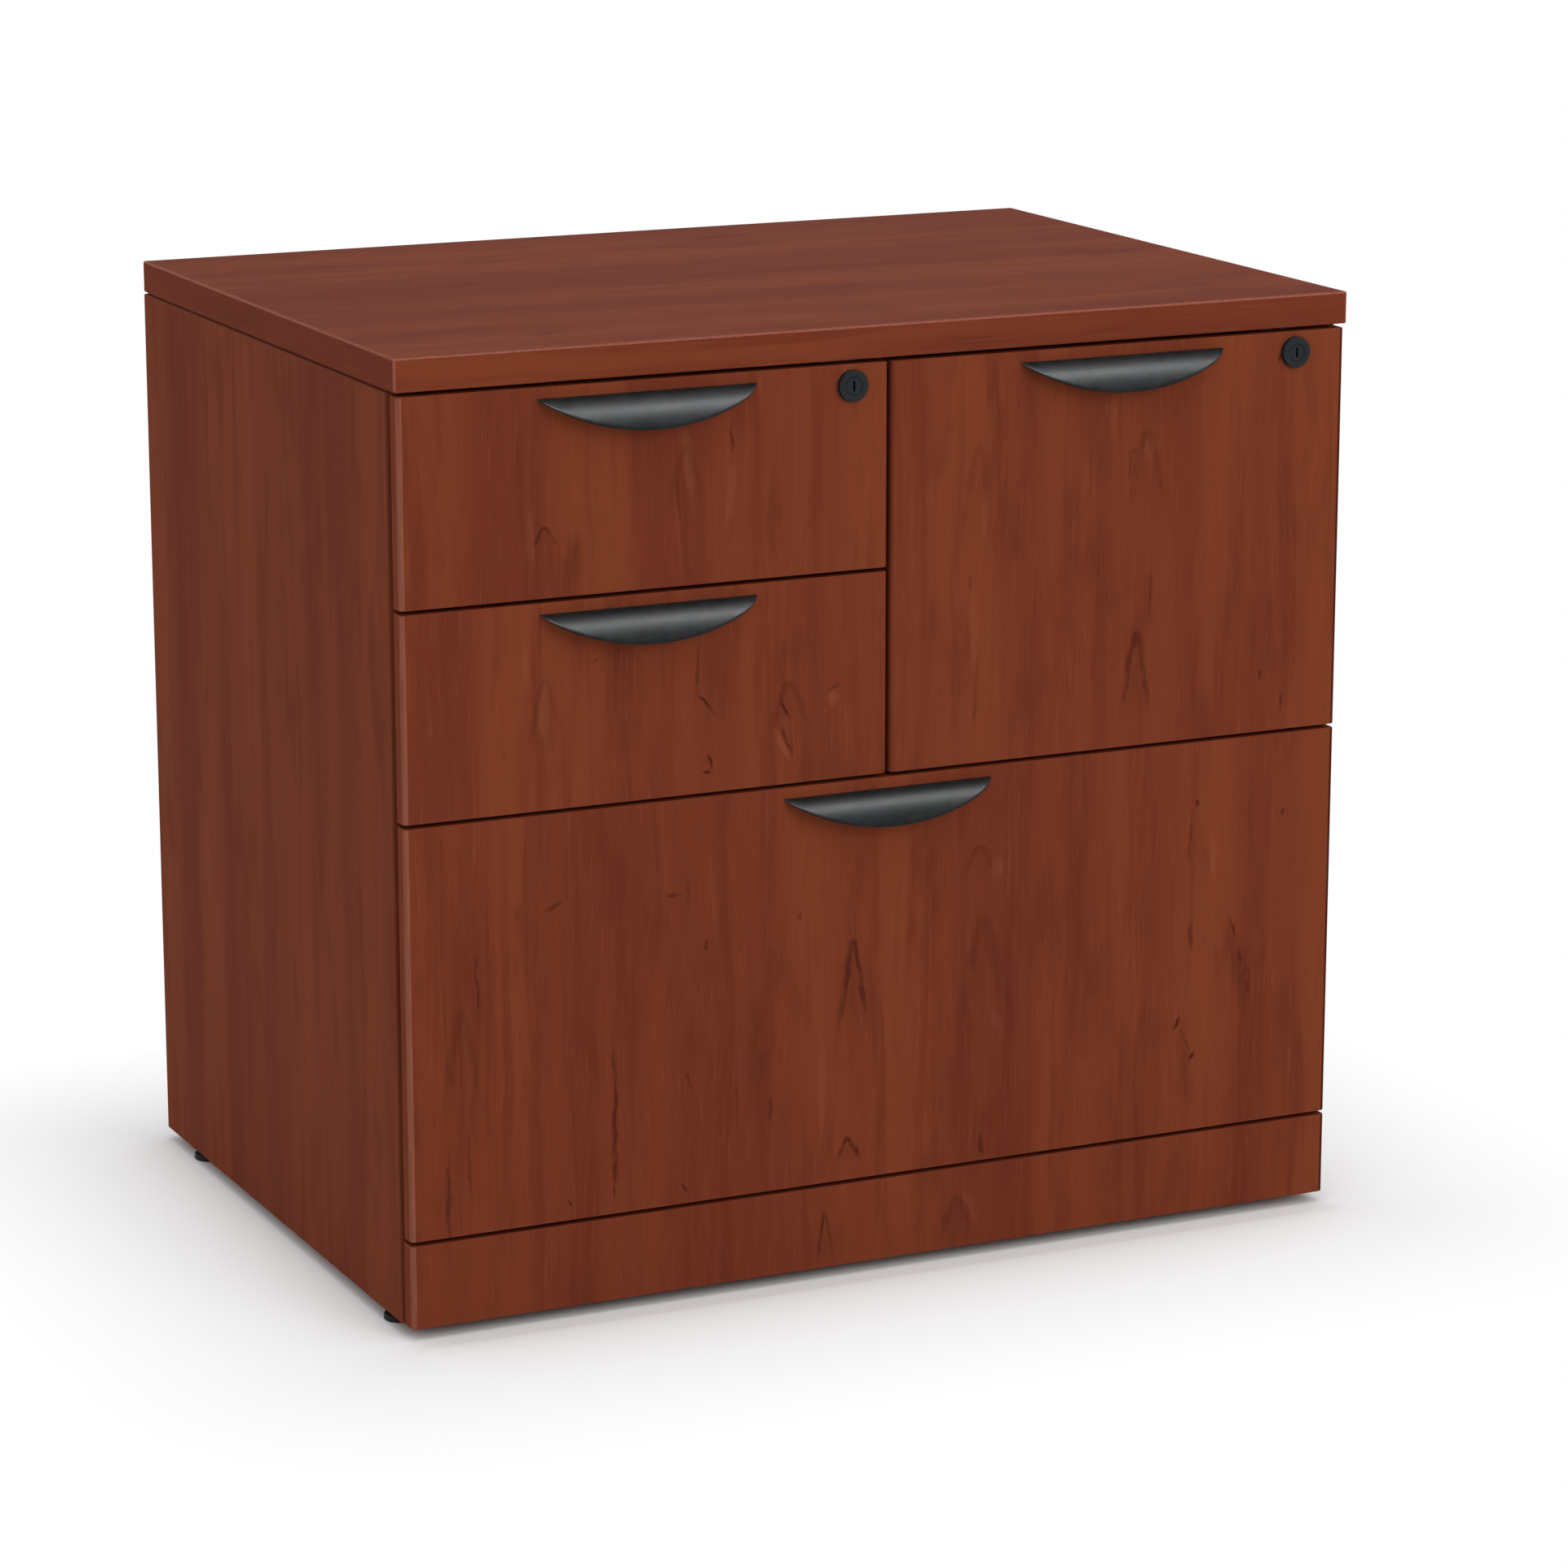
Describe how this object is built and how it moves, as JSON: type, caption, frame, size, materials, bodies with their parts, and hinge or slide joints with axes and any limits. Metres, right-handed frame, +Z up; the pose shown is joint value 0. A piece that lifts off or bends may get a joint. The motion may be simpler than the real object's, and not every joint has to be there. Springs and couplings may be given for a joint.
{
  "type": "lateral filing cabinet",
  "caption": "Laminate lateral filing cabinet with shallow box drawers beside a file drawer, over a wide lateral file drawer, with hood pulls, locks, runners and levelling feet.",
  "frame": {"origin": "on the floor, under the middle of the cabinet's outer box (pulls included)", "axes": "+Z up, the drawers face -Y, +X to the right of someone facing the drawers"},
  "size_m": [0.787, 0.577, 0.737],
  "materials": {
    "top_laminate": "satin cherry wood-grain laminate, grain along the width",
    "front_laminate": "satin cherry wood-grain laminate, grain upright",
    "side_laminate": "satin cherry wood-grain laminate, grain upright",
    "drawer_plywood": "lacquered birch plywood",
    "drawer_bottom": "smooth hardboard",
    "zinc_steel": "zinc-plated rolled steel",
    "pull_black": "satin black coating",
    "lock_black": "satin charcoal coating",
    "foot_plastic": "moulded black nylon"
  },
  "bodies": {
    "case": {"top_panel": "top_laminate", "side_panel_left": "side_laminate", "side_panel_right": "side_laminate", "back_panel": "side_laminate", "bottom_panel": "side_laminate", "middle_shelf": "side_laminate", "partition": "side_laminate", "kick_plate": "front_laminate", "lock_strike_left": "zinc_steel", "lock_strike_right": "zinc_steel", "box_drawer_upper_runner_fixed_left": "zinc_steel", "box_drawer_upper_runner_fixed_right": "zinc_steel", "box_drawer_lower_runner_fixed_left": "zinc_steel", "box_drawer_lower_runner_fixed_right": "zinc_steel", "file_drawer_runner_fixed_left": "zinc_steel", "file_drawer_runner_fixed_right": "zinc_steel", "lateral_drawer_runner_fixed_left": "zinc_steel", "lateral_drawer_runner_fixed_right": "zinc_steel"},
    "box_drawer_upper": {"box_drawer_upper_front": "front_laminate", "box_drawer_upper_pull": "pull_black", "box_drawer_upper_walls": "drawer_plywood", "box_drawer_upper_bottom": "drawer_bottom", "box_drawer_upper_runner_sliding_left": "zinc_steel", "box_drawer_upper_runner_sliding_right": "zinc_steel", "lock_barrel_left": "lock_black"},
    "box_drawer_lower": {"box_drawer_lower_front": "front_laminate", "box_drawer_lower_pull": "pull_black", "box_drawer_lower_walls": "drawer_plywood", "box_drawer_lower_bottom": "drawer_bottom", "box_drawer_lower_runner_sliding_left": "zinc_steel", "box_drawer_lower_runner_sliding_right": "zinc_steel"},
    "file_drawer": {"file_drawer_front": "front_laminate", "file_drawer_pull": "pull_black", "file_drawer_walls": "drawer_plywood", "file_drawer_bottom": "drawer_bottom", "file_drawer_runner_sliding_left": "zinc_steel", "file_drawer_runner_sliding_right": "zinc_steel", "file_drawer_folder_rail_left": "zinc_steel", "file_drawer_folder_rail_right": "zinc_steel", "lock_barrel_right": "lock_black"},
    "lateral_drawer": {"lateral_drawer_front": "front_laminate", "lateral_drawer_pull": "pull_black", "lateral_drawer_walls": "drawer_plywood", "lateral_drawer_bottom": "drawer_bottom", "lateral_drawer_runner_sliding_left": "zinc_steel", "lateral_drawer_runner_sliding_right": "zinc_steel", "lateral_drawer_folder_bar_front": "zinc_steel", "lateral_drawer_folder_bar_rear": "zinc_steel"},
    "file_runners": {"file_drawer_runner_middle_left": "zinc_steel", "file_drawer_runner_middle_right": "zinc_steel"},
    "lateral_runners": {"lateral_drawer_runner_middle_left": "zinc_steel", "lateral_drawer_runner_middle_right": "zinc_steel"},
    "lock_left": {"lock_plug_left": "lock_black", "lock_cam_left": "zinc_steel"},
    "lock_right": {"lock_plug_right": "lock_black", "lock_cam_right": "zinc_steel"},
    "levelling_foot_front_left": {"levelling_foot_front_left": "foot_plastic"},
    "levelling_foot_front_right": {"levelling_foot_front_right": "foot_plastic"},
    "levelling_foot_rear_left": {"levelling_foot_rear_left": "foot_plastic"},
    "levelling_foot_rear_right": {"levelling_foot_rear_right": "foot_plastic"}
  },
  "joints": [
    {"name": "box_drawer_upper_slide", "type": "slide", "parent": "case", "child": "box_drawer_upper", "axis": [0, -1, 0], "range_m": [0, 0.375]},
    {"name": "box_drawer_lower_slide", "type": "slide", "parent": "case", "child": "box_drawer_lower", "axis": [0, -1, 0], "range_m": [0, 0.375]},
    {"name": "file_drawer_slide", "type": "slide", "parent": "case", "child": "file_drawer", "axis": [0, -1, 0], "range_m": [0, 0.48]},
    {"name": "lateral_drawer_slide", "type": "slide", "parent": "case", "child": "lateral_drawer", "axis": [0, -1, 0], "range_m": [0, 0.48]},
    {"name": "file_runner_slide", "type": "slide", "parent": "case", "child": "file_runners", "axis": [0, -1, 0], "range_m": [0, 0.24]},
    {"name": "lateral_runner_slide", "type": "slide", "parent": "case", "child": "lateral_runners", "axis": [0, -1, 0], "range_m": [0, 0.24]},
    {"name": "key_turn_left", "type": "hinge", "parent": "box_drawer_upper", "child": "lock_left", "pos_m": [-0.0315, -0.2705, 0.693], "axis": [0, 1, 0], "range_deg": [0, 90]},
    {"name": "key_turn_right", "type": "hinge", "parent": "file_drawer", "child": "lock_right", "pos_m": [0.3475, -0.2705, 0.693], "axis": [0, 1, 0], "range_deg": [0, 90]},
    {"name": "levelling_foot_front_left", "type": "slide", "parent": "case", "child": "levelling_foot_front_left", "axis": [0, 0, -1], "range_m": [0, 0.012]},
    {"name": "levelling_foot_front_right", "type": "slide", "parent": "case", "child": "levelling_foot_front_right", "axis": [0, 0, -1], "range_m": [0, 0.012]},
    {"name": "levelling_foot_rear_left", "type": "slide", "parent": "case", "child": "levelling_foot_rear_left", "axis": [0, 0, -1], "range_m": [0, 0.012]},
    {"name": "levelling_foot_rear_right", "type": "slide", "parent": "case", "child": "levelling_foot_rear_right", "axis": [0, 0, -1], "range_m": [0, 0.012]}
  ],
  "couplings": [
    {"joint": "file_runner_slide", "follows": "file_drawer_slide", "ratio": 0.5},
    {"joint": "lateral_runner_slide", "follows": "lateral_drawer_slide", "ratio": 0.5}
  ]
}
